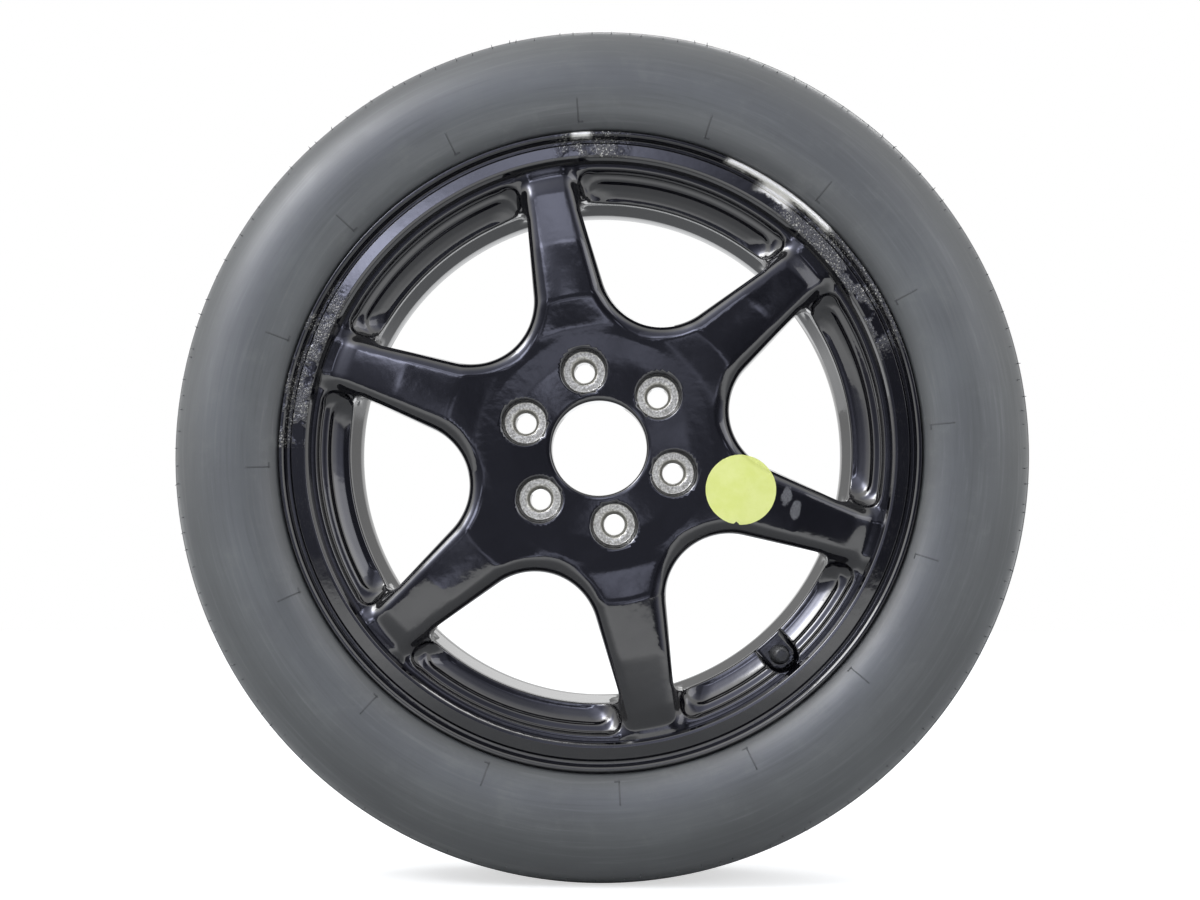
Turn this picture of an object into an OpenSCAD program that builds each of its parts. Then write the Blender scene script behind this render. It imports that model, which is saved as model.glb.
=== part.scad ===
// Compact temporary spare: a cast wheel with six spokes, its narrow tyre and its valve.
// The casting is drawn as two solids that meet where the spokes run into the rim.
// Every solid is drawn with the wheel's axis along Z and the street side up, then turned so that
// the street side looks along -Y and the wheel stands upright.

/* [Wheel mounting] */
// Diameter of the centre bore
bore_d = 70.3; // [66:0.1:74]
// Diameter of the circle through the stud holes
stud_circle_d = 115; // [112:0.5:118]
// Number of spokes, windows and stud holes
spokes = 6; // [6:1:6]
// Diameter of a stud hole
stud_hole_d = 15.4; // [14:0.1:16]
// Diameter of the flat that a wheel nut's collar turns on
nut_flat_d = 30; // [28:0.5:31]
// Diameter at the top of the recess round that flat
nut_recess_d = 35; // [33:0.5:36]
// Depth of the nut flat below the hub's front
nut_recess_h = 3.8; // [3.4:0.1:4.4]
// Diameter at the top of the nut's conical seat
nut_cone_d = 19.4; // [18:0.1:20]
// Depth of the nut's conical seat
nut_cone_h = 3.6; // [2.5:0.1:4.5]
// Height of the mounting face over the wheel's middle plane
mount_z = 30; // [28:0.5:32]
// Diameter of the mounting face
mount_d = 156; // [150:1:160]
// Depth of the step round the mounting face
mount_step = 3; // [1.5:0.1:4]

/* [Hub and spokes] */
// Height of the hub's front at the edge of its bore
hub_rim_z = 48.5; // [47:0.1:50]
// Height of the hub's front between the stud holes
hub_z = 52; // [51:0.1:53]
// Radius at which the hub's front turns into its dish
hub_flat_r = 66; // [62:0.5:70]
// Height of the spokes' crest
crest_z = 56; // [55:0.1:57]
// Radius of the spokes' crest
crest_r = 114; // [108:0.5:120]
// Height of a spoke's face at its outer end
spoke_end_z = 50.5; // [49.5:0.1:51.5]
// Distance from the bead seats in to the end of a spoke's face
spoke_end_in = 19.3; // [18.3:0.1:21.3]
// Height of a spoke's back at the barrel
spoke_back_z = 24; // [23:0.1:25]
// Chamfer at both ends of the bore
bore_chamfer = 2; // [1:0.1:2.5]
// Width of the groove cast into the back of a spoke
back_groove_w = 20; // [14:0.5:24]
// Depth of that groove
back_groove_h = 9; // [6:0.5:11]
// Radius of the pockets cast between the stud holes, on the back
back_pocket_r = 11; // [9:0.5:12]
// Depth of those pockets
back_pocket_h = 9; // [6:0.5:11]

/* [Windows] */
// Radius of the round inner end of a window
window_arc_r = 46.5; // [44:0.5:48]
// Distance from the wheel's axis to the centre of that round end
window_arc_at = 145.7; // [144:0.5:148]
// Angle between a window's middle line and its straight sides
window_side_a = 36; // [35:0.25:37]
// Distance from the bead seats in to the windows' outer edge
window_in = 30.3; // [29.3:0.1:31.8]
// Height of the foot of the sloped edges along the windows
bevel_foot_z = 48; // [47:0.1:49.5]
// Angle between these edges and the wheel's axis
bevel_a = 45; // [38:1:50]

/* [Pockets] */
// Distance from the bead seats in to the pockets' outer edge
pocket_in = 8.3; // [7.3:0.1:9.3]
// Height of the pockets' inner edge
pocket_z = 28; // [26.5:0.5:30]
// Half of the angle between the centres of a pocket's round ends
pocket_half_a = 19.5; // [18:0.25:20]
// Turn of the pocket's concave wall from edge to edge
pocket_turn_a = 44; // [20:1:50]

/* [Rim] */
// Radius of the bead seats
seat_r = 218.3; // [217.5:0.1:219]
// Height of the flanges over the bead seats
flange_h = 17.5; // [17:0.1:18]
// Width between the inner faces of the flanges
rim_w = 101.6; // [99:0.1:104]
// Thickness of a flange
flange_t = 10.2; // [9:0.1:11]
// Distance from the bead seats in to the outer edge of the ledge that the pockets start from
ledge_in = 3.7; // [3.1:0.1:4.8]
// Height of that ledge
ledge_z = 46; // [45:0.1:46.2]
// Height of the band's crest
band_z = 58; // [57:0.1:59]
// Distance from the bead seats in to the band's crest
band_in = 1.1; // [0.3:0.1:1.8]
// Distance from the flange's edge in to the groove between the band and the lip
lip_groove_in = 6.5; // [5.8:0.1:6.8]
// Width of that groove at its mouth
lip_groove_w = 5.4; // [4:0.1:6]
// Depth of that groove
lip_groove_h = 3.2; // [2:0.1:3.8]
// Depth of the well below the bead seats
well_h = 27.5; // [26.3:0.1:28.8]
// Thickness of the barrel in the well
well_t = 7.8; // [6.8:0.1:9]
// Thickness of the barrel behind the well
rear_barrel_t = 8.3; // [7.3:0.1:9.8]

/* [Tyre] */
// Outside diameter of the tyre
tyre_d = 635; // [630:1:640]
// Section width of the tyre
tyre_w = 147; // [144:0.5:150]
// Height over the flanges at which the tyre is widest
wide_h = 34.2; // [30:0.1:38]
// Thickness of the sidewall
side_t = 8; // [6:0.1:10]
// Thickness of the tread
tread_t = 13; // [11:0.1:15]
// Half of the width of the flat part of the tread
tread_half = 44; // [40:0.5:47]
// Width of the tread's grooves
tread_groove_w = 6; // [4:0.1:7]
// Depth of the tread's grooves
tread_groove_h = 4; // [3:0.1:5]
// Distance from the middle groove to the outer ones
tread_groove_at = 25; // [20:0.5:27]
// Number of slots along each side of the tread
tread_slots = 60; // [48:1:72]
// Width of a slot
slot_w = 3.6; // [2:0.1:5]
// Depth of a slot
slot_h = 3.4; // [2.6:0.1:3.8]
// Length of a slot from the middle of the outer groove
slot_len = 15.5; // [10:0.1:17]

/* [Valve] */
// Direction of the valve, anticlockwise from the right as the street side is seen
valve_a = 311.2; // [305:0.1:317]
// Distance from the bead seats in to the valve's axis
valve_in = 16.3; // [15.3:0.1:17.8]
// Diameter of the valve hole
valve_hole_d = 11.5; // [11.3:0.1:11.7]
// Thickness of the wall that the valve clips into
valve_wall = 4; // [3.5:0.1:4.5]
// Height of the flat that the valve stands on
valve_flat_z = 27; // [26.5:0.1:27.5]
// Width of that flat
valve_flat_w = 24; // [21:0.5:26]
// Height of the rubber stem over the flat
valve_rubber_h = 14.5; // [13:0.1:16]
// Height of the brass stem's end over the flat
valve_stem_h = 22.5; // [21.5:0.1:24]
// Outside diameter of the valve's thread
valve_thread_d = 7.7; // [7.5:0.05:7.8]
// Outside diameter of the cap
cap_d = 11.4; // [10.5:0.1:12]
// Length of the cap
cap_h = 10; // [9.5:0.1:10.2]
// Travel of the valve pin
pin_travel = 1.4; // [1:0.1:1.6]

/* [Label] */
// Diameter of the round label
label_d = 51.4; // [48:0.1:52]
// Distance from the wheel's axis to the label's centre
label_at = 108.6; // [106:0.1:110]
// Direction of the label, anticlockwise from the right
label_a = 343.2; // [342:0.1:344]
// Thickness of the label
label_t = 0.2; // [0.15:0.05:0.3]

/* [Hidden] */
$fn = 96;

step_a = 360 / spokes;
spoke_a = 41;
rim_r = seat_r + flange_h;
face_z = rim_w / 2 + flange_t;
spoke_end_r = seat_r - spoke_end_in;
window_r = seat_r - window_in;
pocket_r = seat_r - pocket_in;
ledge_r = seat_r - ledge_in;
band_r = seat_r - band_in;
lip_groove_r = rim_r - lip_groove_in;
well_r = seat_r - well_h;
barrel_r = well_r - well_t;
rear_barrel_r = seat_r - rear_barrel_t;
valve_at = seat_r - valve_in;
over = 15;
edge = 1.2;

// Points of an arc from p to q that turns by the given angle, in n steps.
function turned(p, q, turn, n) =
    let (chord = norm(q - p), r = chord / (2 * sin(turn / 2)),
         dir = atan2(q[1] - p[1], q[0] - p[0]), start = dir - turn / 2,
         centre = p + r * [-sin(start), cos(start)])
    [for (i = [0:n]) centre + r * [sin(start + turn * i / n), -cos(start + turn * i / n)]];

// Points of an ellipse about c, from angle a to angle b, measured from the Z side.
function oval(c, rad, a, b, n) =
    [for (i = [0:n]) let (t = a + (b - a) * i / n) c + [rad[0] * sin(t), rad[1] * cos(t)]];

// The same points on the other side of the middle plane, in reverse order.
function mirrored(points) = [for (i = [len(points) - 1:-1:0]) [points[i][0], -points[i][1]]];

// The same points in reverse order.
function backwards(points) = [for (i = [len(points) - 1:-1:0]) points[i]];

module turn_solid(points) {
    rotate_extrude($fn = 360) polygon(points);
}

module each_spoke(offset_a = 0) {
    for (i = [0:spokes - 1]) rotate(spoke_a + offset_a + i * step_a) children();
}

module stand_up() {
    rotate([90, 0, 0]) children();
}

// Street side of the wheel's section, from the bore out to the windows' outer edge.
face_end_z = crest_z + (spoke_end_z - crest_z) * (window_r - crest_r) / (spoke_end_r - crest_r);
hub_front = [
    [bore_d / 2, hub_rim_z - bore_chamfer],
    [bore_d / 2 + bore_chamfer, hub_rim_z],
    [hub_flat_r, hub_z],
    [(hub_flat_r + crest_r) / 2 + edge, (hub_z + crest_z) / 2 - edge / 2],
    [crest_r, crest_z],
    [(crest_r + spoke_end_r) / 2, (crest_z + spoke_end_z) / 2 + edge],
    [window_r, face_end_z]
];

// The same side from the spokes' ends out to the ledge.
end_front = [
    [window_r, face_end_z],
    [spoke_end_r, spoke_end_z],
    [spoke_end_r + spoke_end_z - ledge_z, ledge_z],
    [ledge_r, ledge_z]
];

// Band, groove and lip of the street-side flange.
band_edge_r = lip_groove_r - lip_groove_w / 2;
lip_r = lip_groove_r + lip_groove_w / 2;
rim_front = [
    [ledge_r + edge / 3, band_z - 2 * edge],
    [band_r - edge / 2, band_z - edge / 4],
    [band_r + edge, band_z],
    [band_edge_r, band_z - edge / 2],
    [lip_groove_r - lip_groove_w / 4, band_z - lip_groove_h],
    [lip_groove_r + lip_groove_w / 4, band_z - lip_groove_h],
    [lip_r, face_z - edge],
    [lip_r + edge, face_z],
    [rim_r - edge, face_z],
    [rim_r, face_z - edge]
];

// Tyre side of one flange, its bead seat and its hump, from the flange down to the well.
seat_drop = 0.9;
seat_in_z = rim_w / 2 - 20;
hump_z = seat_in_z - 3;
bead_side = [
    [rim_r, rim_w / 2 + edge],
    [rim_r - edge, rim_w / 2],
    [seat_r + 5 * edge, rim_w / 2],
    [seat_r, rim_w / 2 - 4 * edge],
    [seat_r - seat_drop, seat_in_z],
    [seat_r, (seat_in_z + hump_z) / 2],
    [seat_r - seat_drop, hump_z]
];
well_front_z = hump_z - 12.5;
well_rear_z = -6;

// Rear flange and the inside of the barrel, up to the back of the spokes.
barrel = [
    [rim_r, -face_z + 2 * edge],
    [rim_r - 2 * edge, -face_z],
    [rear_barrel_r + 12, -face_z],
    [rear_barrel_r + 3, -face_z + 7],
    [rear_barrel_r, -rim_w / 2 + 7],
    [rear_barrel_r, -hump_z - 4],
    [barrel_r, well_rear_z - 2],
    [barrel_r, well_rear_z + 16],
    [window_r, spoke_back_z]
];

// Back of the spokes and the mounting face.
hub_back = [
    [crest_r + 6, mount_z - 1],
    [mount_d / 2 + 2 * edge, mount_z + mount_step],
    [mount_d / 2 + edge, mount_z + mount_step],
    [mount_d / 2, mount_z],
    [bore_d / 2 + bore_chamfer / 2, mount_z],
    [bore_d / 2, mount_z + bore_chamfer / 2]
];

// Straight side of a window: where it leaves the round end, its direction and its normal.
side_dir = [cos(window_side_a), sin(window_side_a)];
side_out = [-sin(window_side_a), cos(window_side_a)];
side_start = [window_arc_at, 0] + window_arc_r * side_out;
side_len = 96;
bevel_len = 84;
tuck = 0.03;
groove_gap = 14;

module wedge_plan(r) {
    near = side_start - tuck * side_out;
    far = near + side_len * side_dir;
    intersection() {
        union() {
            translate([window_arc_at, 0]) circle(window_arc_r);
            polygon([near, far, [far[0], -far[1]], [near[0], -near[1]]]);
        }
        circle(r, $fn = 360);
    }
}

module windows() {
    translate([0, 0, spoke_back_z - edge]) linear_extrude(2 * over + crest_z - spoke_back_z)
        each_spoke(step_a / 2) wedge_plan(window_r + over);
}

// Sloped edges along the windows: a cone at the round end and a slanted cut along each side.
module sloped_edges() {
    rise = crest_z - bevel_foot_z + over / 2;
    run = rise * tan(bevel_a);
    each_spoke(step_a / 2) {
        translate([window_arc_at, 0, bevel_foot_z])
            cylinder(h = rise, r1 = window_arc_r, r2 = window_arc_r + run);
        for (s = [0, 1]) mirror([0, s, 0])
            translate([side_start[0], side_start[1], bevel_foot_z]) rotate(window_side_a)
                translate([-edge / 2, 0, 0]) rotate([90, 0, 90]) linear_extrude(bevel_len)
                    polygon([[-edge, -edge], [-tuck, -edge], [-tuck, 0], [run - tuck, rise], [-edge, rise]]);
    }
}

// Room beside the spokes' ends, down to the ledge.
module shoulders() {
    reach = spoke_end_r + spoke_end_z - ledge_z + edge;
    translate([0, 0, ledge_z]) linear_extrude(over)
        each_spoke(step_a / 2) wedge_plan(reach);
}

module pockets() {
    end_r = (pocket_r - window_r) / 2;
    mid_r = (pocket_r + window_r) / 2;
    wall = turned([window_r - edge, pocket_z - edge / 3], [pocket_r + edge / 4, ledge_z + edge / 3],
                  pocket_turn_a, 6);
    intersection() {
        turn_solid(concat([[window_r - end_r, pocket_z - edge / 3]], wall,
                          [[pocket_r + edge / 4, ledge_z + over], [window_r - end_r, ledge_z + over]]));
        translate([0, 0, pocket_z - edge]) linear_extrude(over + ledge_z)
            each_spoke(step_a / 2) {
                intersection() {
                    difference() {
                        circle(pocket_r + 2 * edge, $fn = 360);
                        circle(window_r - end_r / 2, $fn = 360);
                    }
                    polygon([[0, 0], 2 * pocket_r * [cos(pocket_half_a), -sin(pocket_half_a)],
                             2 * pocket_r * [cos(pocket_half_a), sin(pocket_half_a)]]);
                }
                for (s = [-1, 1]) rotate(s * pocket_half_a) translate([mid_r, 0]) circle(end_r);
            }
    }
}

module stud_holes() {
    each_spoke() translate([stud_circle_d / 2, 0, 0]) {
        flat_z = hub_z - nut_recess_h;
        translate([0, 0, mount_z - 1]) cylinder(h = crest_z, d = stud_hole_d);
        translate([0, 0, flat_z - nut_cone_h]) cylinder(h = nut_cone_h, d1 = stud_hole_d, d2 = nut_cone_d);
        translate([0, 0, flat_z]) cylinder(h = over, d = nut_flat_d);
        translate([0, 0, flat_z + edge / 2])
            cylinder(h = nut_recess_h, d1 = nut_flat_d + edge, d2 = nut_recess_d);
    }
}

module back_relief() {
    groove_in = mount_d / 2 + groove_gap;
    groove_len = window_r - back_groove_w - groove_in;
    each_spoke() translate([groove_in, 0, spoke_back_z - over]) {
        for (x = [0, groove_len]) translate([x, 0, 0])
            cylinder(h = over + back_groove_h, d = back_groove_w + 2 * tuck);
        translate([0, -back_groove_w / 2, 0])
            cube([groove_len, back_groove_w, over + back_groove_h]);
    }
    each_spoke(step_a / 2) translate([stud_circle_d / 2, 0, mount_z - 1])
        cylinder(h = back_pocket_h + 1, r = back_pocket_r);
}

module valve_seat() {
    rotate(valve_a) {
        translate([valve_at, 0, 0]) cylinder(h = 2 * ledge_z, d = valve_hole_d);
        translate([valve_at, 0, 0]) cylinder(h = valve_flat_z - valve_wall, d = valve_flat_w - 2);
        translate([valve_at, 0, valve_flat_z]) cylinder(h = ledge_z, d = valve_flat_w);
        translate([window_r - over, -valve_flat_w / 2, valve_flat_z])
            cube([valve_at - window_r + over, valve_flat_w, ledge_z]);
    }
}

module disc() {
    color("#17181c") stand_up() difference() {
        turn_solid(concat(hub_front, [[window_r, spoke_back_z]], hub_back));
        windows();
        sloped_edges();
        stud_holes();
        back_relief();
    }
}

module rim() {
    color("#191a1e") stand_up() difference() {
        turn_solid(concat(end_front, rim_front, bead_side,
                          [[well_r, well_front_z], [well_r, well_rear_z]],
                          mirrored(bead_side), barrel));
        shoulders();
        sloped_edges();
        pockets();
        valve_seat();
    }
}

// Section of the tyre's outside, from the flange over the widest point to the tread's middle.
tread_r = tyre_d / 2;
wide_z = tyre_w / 2;
default_side_h = 81.7;
wide_r = rim_r + wide_h * (tread_r - rim_r) / default_side_h;
crown = 1.4;
flange_gap = 1.1;
foot_a = 66;
foot_z = rim_w / 2 - 0.8;
shoulder_a = 70;
shoulder_z = tread_half - 4;
tyre_outside = concat(
    oval([wide_r, foot_z], [(wide_r - rim_r - flange_gap) / sin(foot_a), wide_z - foot_z], -foot_a, 0, 8),
    oval([wide_r, shoulder_z], [tread_r - wide_r - crown, wide_z - shoulder_z], 8, shoulder_a, 8),
    [[tread_r - crown, tread_half], [tread_r, tread_half / 2]]
);
cavity_r = tread_r - tread_t;
cavity_z = rim_w / 2 - 14.8;
cavity_w = wide_z - side_t - cavity_z;
bead_h = 8;
tyre_inside = concat(
    oval([wide_r, cavity_z], [wide_r - seat_r - bead_h, cavity_w], -90, 0, 8),
    oval([wide_r, cavity_z], [cavity_r - wide_r, cavity_w], 9, 90, 9)
);
bead_foot = [
    [rim_r - edge, rim_w / 2],
    [seat_r + 5 * edge, rim_w / 2],
    [seat_r, rim_w / 2 - 4 * edge],
    [seat_r - seat_drop, seat_in_z]
];
tyre_half = concat(backwards(tyre_inside), backwards(bead_foot),
                   [[rim_r + edge / 4, rim_w / 2 + edge]], tyre_outside);

module tyre() {
    color("#55585a") stand_up() difference() {
        turn_solid(concat(tyre_half, mirrored(tyre_half)));
        for (z = [-tread_groove_at, 0, tread_groove_at])
            translate([0, 0, z - tread_groove_w / 2]) rotate_extrude($fn = 360)
                translate([tread_r - tread_groove_h, 0]) square([over, tread_groove_w]);
        for (i = [0:tread_slots - 1], s = [0, 1]) mirror([0, 0, s])
            rotate((i + s / 2) * 360 / tread_slots)
                translate([tread_r - slot_h, -slot_w / 2, tread_groove_at])
                    cube([over, slot_w, slot_len]);
    }
}

// The valve's own axis is Z here, with the flat that it stands on at height 0.
module at_valve() {
    stand_up() rotate(valve_a) translate([valve_at, 0, valve_flat_z]) children();
}

hole_r = valve_hole_d / 2;
stem_r = valve_thread_d / 2;
chamber_r = 2.65;
chamber_foot = 9;
barrel_z = chamber_foot + edge / 2 + pin_travel;
seal_t = 1.2;
pin_r = 0.75;
collar_z = valve_stem_h - 2.6;
step_z = barrel_z + 2.6;
stem_foot_r = stem_r + 0.15;
rubber_tail = 8;
bulb_out = 3.8;
skirt_out = 1.7;
air_r = 1.9;
core_r = 2.2;
core_gap = 0.35;
gasket_h = 1.6;
poppet_r = 1.8;
poppet_t = 0.6;
poppet_seal_t = 1;
collar_r = 1.6;

module valve_body() {
    color("#232427") at_valve() rotate_extrude() polygon([
        [stem_foot_r, -rubber_tail], [hole_r, -rubber_tail], [hole_r + bulb_out - edge, edge - rubber_tail],
        [hole_r + bulb_out, -valve_wall - edge], [hole_r + bulb_out, -valve_wall], [hole_r, -valve_wall],
        [hole_r, 0], [hole_r + skirt_out, 0], [hole_r + skirt_out, edge], [hole_r + skirt_out / 2, 3 * edge],
        [stem_r + skirt_out, valve_rubber_h - edge], [stem_r + edge, valve_rubber_h],
        [stem_foot_r, valve_rubber_h]
    ]);
}

module valve_stem() {
    color("#b59b55") at_valve() rotate_extrude() polygon([
        [air_r, edge / 2 - rubber_tail], [stem_foot_r, edge / 2 - rubber_tail],
        [stem_foot_r, valve_rubber_h], [stem_r, valve_rubber_h], [stem_r, valve_stem_h - edge / 2],
        [stem_r - edge / 2, valve_stem_h], [chamber_r + edge / 4, valve_stem_h],
        [chamber_r, valve_stem_h - edge / 3], [chamber_r, chamber_foot], [air_r, chamber_foot - edge]
    ]);
}

module core_housing() {
    top_z = valve_stem_h - 1;
    taper_z = barrel_z + gasket_h + edge / 3;
    color("#c3aa5e") at_valve() rotate_extrude() polygon([
        [pin_r + core_gap, barrel_z], [core_r, barrel_z], [core_r, taper_z], [chamber_r, taper_z + edge / 3],
        [chamber_r, top_z], [air_r, top_z], [air_r, step_z], [pin_r + core_gap, step_z]
    ]);
}

module core_gasket() {
    color("#a83226") at_valve() translate([0, 0, barrel_z + edge / 4]) difference() {
        cylinder(h = gasket_h, r = chamber_r);
        translate([0, 0, -1]) cylinder(h = gasket_h + 2, r = core_r);
    }
}

module core_pin() {
    foot_z = barrel_z - poppet_seal_t - poppet_t;
    color("#cfcfc8") at_valve() {
        translate([0, 0, foot_z]) cylinder(h = valve_stem_h - edge / 3 - foot_z, r = pin_r);
        translate([0, 0, foot_z]) cylinder(h = poppet_t, r = poppet_r);
        translate([0, 0, collar_z]) cylinder(h = poppet_t, r = collar_r);
    }
}

module core_seal() {
    color("#1b1b1b") at_valve() translate([0, 0, barrel_z - poppet_seal_t]) difference() {
        cylinder(h = poppet_seal_t, r = poppet_r);
        translate([0, 0, -1]) cylinder(h = poppet_seal_t + 2, r = pin_r);
    }
}

// Points of a ring of the spring's wire, at the given turn.
spring_wire_r = 0.2;
spring_r = 1.35;
spring_turns = 6;
ring_sides = 8;
rings_a_turn = 16;
function wire_ring(turn, pitch) = [for (i = [0:ring_sides - 1])
    let (t = 360 * i / ring_sides, r = spring_r + spring_wire_r * cos(t))
    [r * cos(360 * turn), r * sin(360 * turn), pitch * turn + spring_wire_r * sin(t)]];

module core_spring() {
    rings = spring_turns * rings_a_turn;
    last = rings * ring_sides;
    pitch = (collar_z - step_z - 2 * spring_wire_r) / spring_turns;
    points = [for (k = [0:rings]) each wire_ring(k / rings_a_turn, pitch)];
    sides = [for (k = [0:rings - 1], i = [0:ring_sides - 1]) let (j = (i + 1) % ring_sides)
        [k * ring_sides + i, k * ring_sides + j, (k + 1) * ring_sides + j, (k + 1) * ring_sides + i]];
    color("#9a9da0") at_valve() translate([0, 0, step_z + spring_wire_r])
        polyhedron(points, concat(sides, [[for (i = [ring_sides - 1:-1:0]) i]],
                                  [[for (i = [0:ring_sides - 1]) last + i]]));
}

cap_wall = 1.3;
cap_gap = 0.2;
flute_r = 1.1;
cap_top = valve_stem_h + seal_t + cap_wall;

module valve_cap() {
    flutes = 12;
    color("#1d1e20") at_valve() difference() {
        rotate_extrude() polygon([
            [stem_r + cap_gap, cap_top - cap_h], [cap_d / 2, cap_top - cap_h],
            [cap_d / 2, cap_top - 2 * edge], [cap_d / 2 - edge / 2, cap_top - edge],
            [cap_d / 2 - 1.5 * edge, cap_top - edge / 4], [0, cap_top],
            [0, cap_top - cap_wall], [stem_r + cap_gap, cap_top - cap_wall]
        ]);
        for (i = [0:flutes - 1]) rotate(i * 360 / flutes)
            translate([cap_d / 2 + flute_r / 2, 0, cap_top - cap_h - edge])
                cylinder(h = cap_h - edge, r = flute_r);
    }
}

module cap_seal() {
    color("#2a2a2a") at_valve() translate([0, 0, valve_stem_h]) difference() {
        cylinder(h = seal_t, r = stem_r + cap_gap / 2);
        translate([0, 0, -1]) cylinder(h = seal_t + 2, r = collar_r);
    }
}

module speed_label() {
    foot = [[window_r, ledge_z], [hub_flat_r, ledge_z]];
    under = [[window_r + edge, ledge_z - edge], [hub_flat_r - edge, ledge_z - edge]];
    raised = [for (p = hub_front) if (p[0] >= hub_flat_r) p + [0, label_t]];
    covered = [for (p = hub_front) if (p[0] >= hub_flat_r) p];
    color("#dfe38a") stand_up() intersection() {
        rotate(label_a) translate([label_at, 0, ledge_z + edge]) cylinder(h = crest_z, d = label_d);
        difference() {
            turn_solid(concat(raised, foot));
            windows();
            translate([0, 0, label_t / sin(bevel_a)]) sloped_edges();
            difference() {
                turn_solid(concat(covered, under));
                sloped_edges();
            }
        }
    }
}

disc();
rim();
tyre();
valve_body();
valve_stem();
core_housing();
core_gasket();
core_pin();
core_seal();
core_spring();
valve_cap();
cap_seal();
speed_label();
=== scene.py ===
import math
import random

import bmesh
import bpy
import numpy as np
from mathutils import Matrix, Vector


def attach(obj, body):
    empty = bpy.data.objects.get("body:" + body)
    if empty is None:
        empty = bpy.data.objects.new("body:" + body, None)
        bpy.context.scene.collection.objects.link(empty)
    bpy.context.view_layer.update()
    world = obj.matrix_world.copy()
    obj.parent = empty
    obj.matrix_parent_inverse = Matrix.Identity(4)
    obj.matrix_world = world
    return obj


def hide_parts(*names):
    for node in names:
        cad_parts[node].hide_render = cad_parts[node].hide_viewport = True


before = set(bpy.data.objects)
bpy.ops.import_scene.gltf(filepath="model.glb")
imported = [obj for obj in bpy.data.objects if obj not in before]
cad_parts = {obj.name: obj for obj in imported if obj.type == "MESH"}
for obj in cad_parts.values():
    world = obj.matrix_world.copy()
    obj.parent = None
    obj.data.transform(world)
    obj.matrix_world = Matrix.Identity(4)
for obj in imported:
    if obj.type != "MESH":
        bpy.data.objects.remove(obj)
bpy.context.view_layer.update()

# Lengths of the wheel's own shape are in millimetres, in the drawing's frame: the wheel's axis is z,
# the street side is up, and a point (x, y, z) stands at (x, -z, y) in the scene. Names that end in
# _A are angles in degrees, _R radii, _Z heights over the wheel's middle plane, and _AT the radius on
# which something is centred.
MM = 0.001
DEG = math.pi / 180

# Hub, spokes and windows
SPOKES = 6
STEP_A = 360 / SPOKES
SPOKE_A = 41.0
BORE_R = 35.15
STUD_AT = 57.5
STUD_R = 7.7
CONE_R = 9.7
CONE_H = 3.6
SEAT_R = 15.0
SEAT_Z = 48.2
RECESS_R = 17.5
MOUNT_Z = 30.0
MOUNT_R = 78.0
STEP_Z = 33.0
WINDOW_ARC_AT = 145.7
WINDOW_ARC_R = 46.5
WINDOW_SIDE_A = 36.0
WINDOW_R = 188.0
CROWN = 0.0011
GROOVE_FROM = 92.0
GROOVE_TO = 168.0
GROOVE_R = 10.0
GROOVE_DEEP = 8.5
HOLLOW_R = 11.0
HOLLOW_DEEP = 9.0

# Ring with its pockets, rim and valve
BARREL_R = 183.0
POCKET_R = 210.0
POCKET_HALF_A = 20.7
CAST_R = 216.5
CAST_BACK_Z = 6.0
VALVE_A = 311.2
VALVE_AT = 202.0
VALVE_FLAT_Z = 27.0
VALVE_FLAT_HALF = 12.0
VALVE_HOLE_R = 5.7
RIM_R = 235.8
FACE_Z = 61.0

# Tyre: the outer half of its wall is a quarter oval, the inner half another
TREAD_R = 317.5
WALL_AT = 270.0
OUTER_Z = 40.0
OUTER_HALF = (46.0, 33.5)
INNER_Z = 50.0
INNER_HALF = (36.23, 23.5)
GROOVE_H = 4.0
SLOTS = 60
SLOT_W = 3.6
SLOT_H = 3.4
SLOT_START_Z = 24.0
SLOT_END_Z = 40.5
MOULD_LINES = 16
MOULD_LINE_A = 3.5
MOULD_LINE_FROM = 241.5
MOULD_LINE_TO = 258.0
MOULD_LINE_THICK_R = 0.4
HOOK_R = 242.0
HAIR_THICK_R = (0.42, 0.34, 0.14)
HAIRS_FRONT = 150
HAIRS_BACK = 90

# Label
LABEL_AT = 108.6
LABEL_A = 343.2
LABEL_R = 25.7
LABEL_OVER = 0.22
LABEL_UNDER = 0.1
TEAR_A = 262.0
TEAR_DEEP = 2.2
TEAR_WIDE_A = 3.0

# Two scuffs in the paint beside the label (radius, angle), and their half sizes
SCUFFS = ((142.0, -14.6), (151.0, -17.9))
SCUFF_HALF_R = 4.2
SCUFF_HALF_A = 2.9

# Light
FLOOR_GLOW = 0.6
FLOOR_SHINE = 1.1
SOFT_LIGHT = 0.8
ROOM_LOW = 0.28
ROOM_HIGH = 1.0
ROOM_SIDE = 1.7
# Windows and lamps of the room, seen only in reflections. Each has a direction in the scene (degrees
# from -Y towards +X, degrees up), half a width and half a height in degrees, and a strength.
PATCHES = (
    (-14.5, 17.5, 5.0, 2.8, 7.5),
    (-3.0, 19.2, 3.0, 1.5, 4.0),
    (-5.0, 24.0, 6.0, 2.2, 2.2),
    (-15.3, 9.6, 1.9, 2.4, 2.6),
    (-11.5, -3.2, 2.4, 1.5, 1.6),
    (9.5, 14.5, 2.4, 1.4, 1.8),
    (-3.3, 12.8, 1.8, 1.6, 1.6),
    (1.2, -0.6, 3.0, 1.0, 2.2),
    (-1.3, 2.4, 3.4, 1.1, 1.1),
    (-9.5, 3.5, 3.0, 2.0, 0.8),
    (-48.0, 38.0, 24.0, 20.0, 2.4),
    (-46.0, 36.0, 9.0, 8.0, 14.0),
    (46.0, 24.0, 14.0, 20.0, 1.2),
)


def to_scene(points):
    """Points of the drawing's frame, in millimetres, as points of the scene, in metres."""
    points = np.asarray(points, float)
    return np.stack([points[:, 0], -points[:, 2], points[:, 1]], 1) * MM


def turn_to_scene(normals):
    return np.stack([normals[:, 0], -normals[:, 2], normals[:, 1]], 1)


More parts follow.
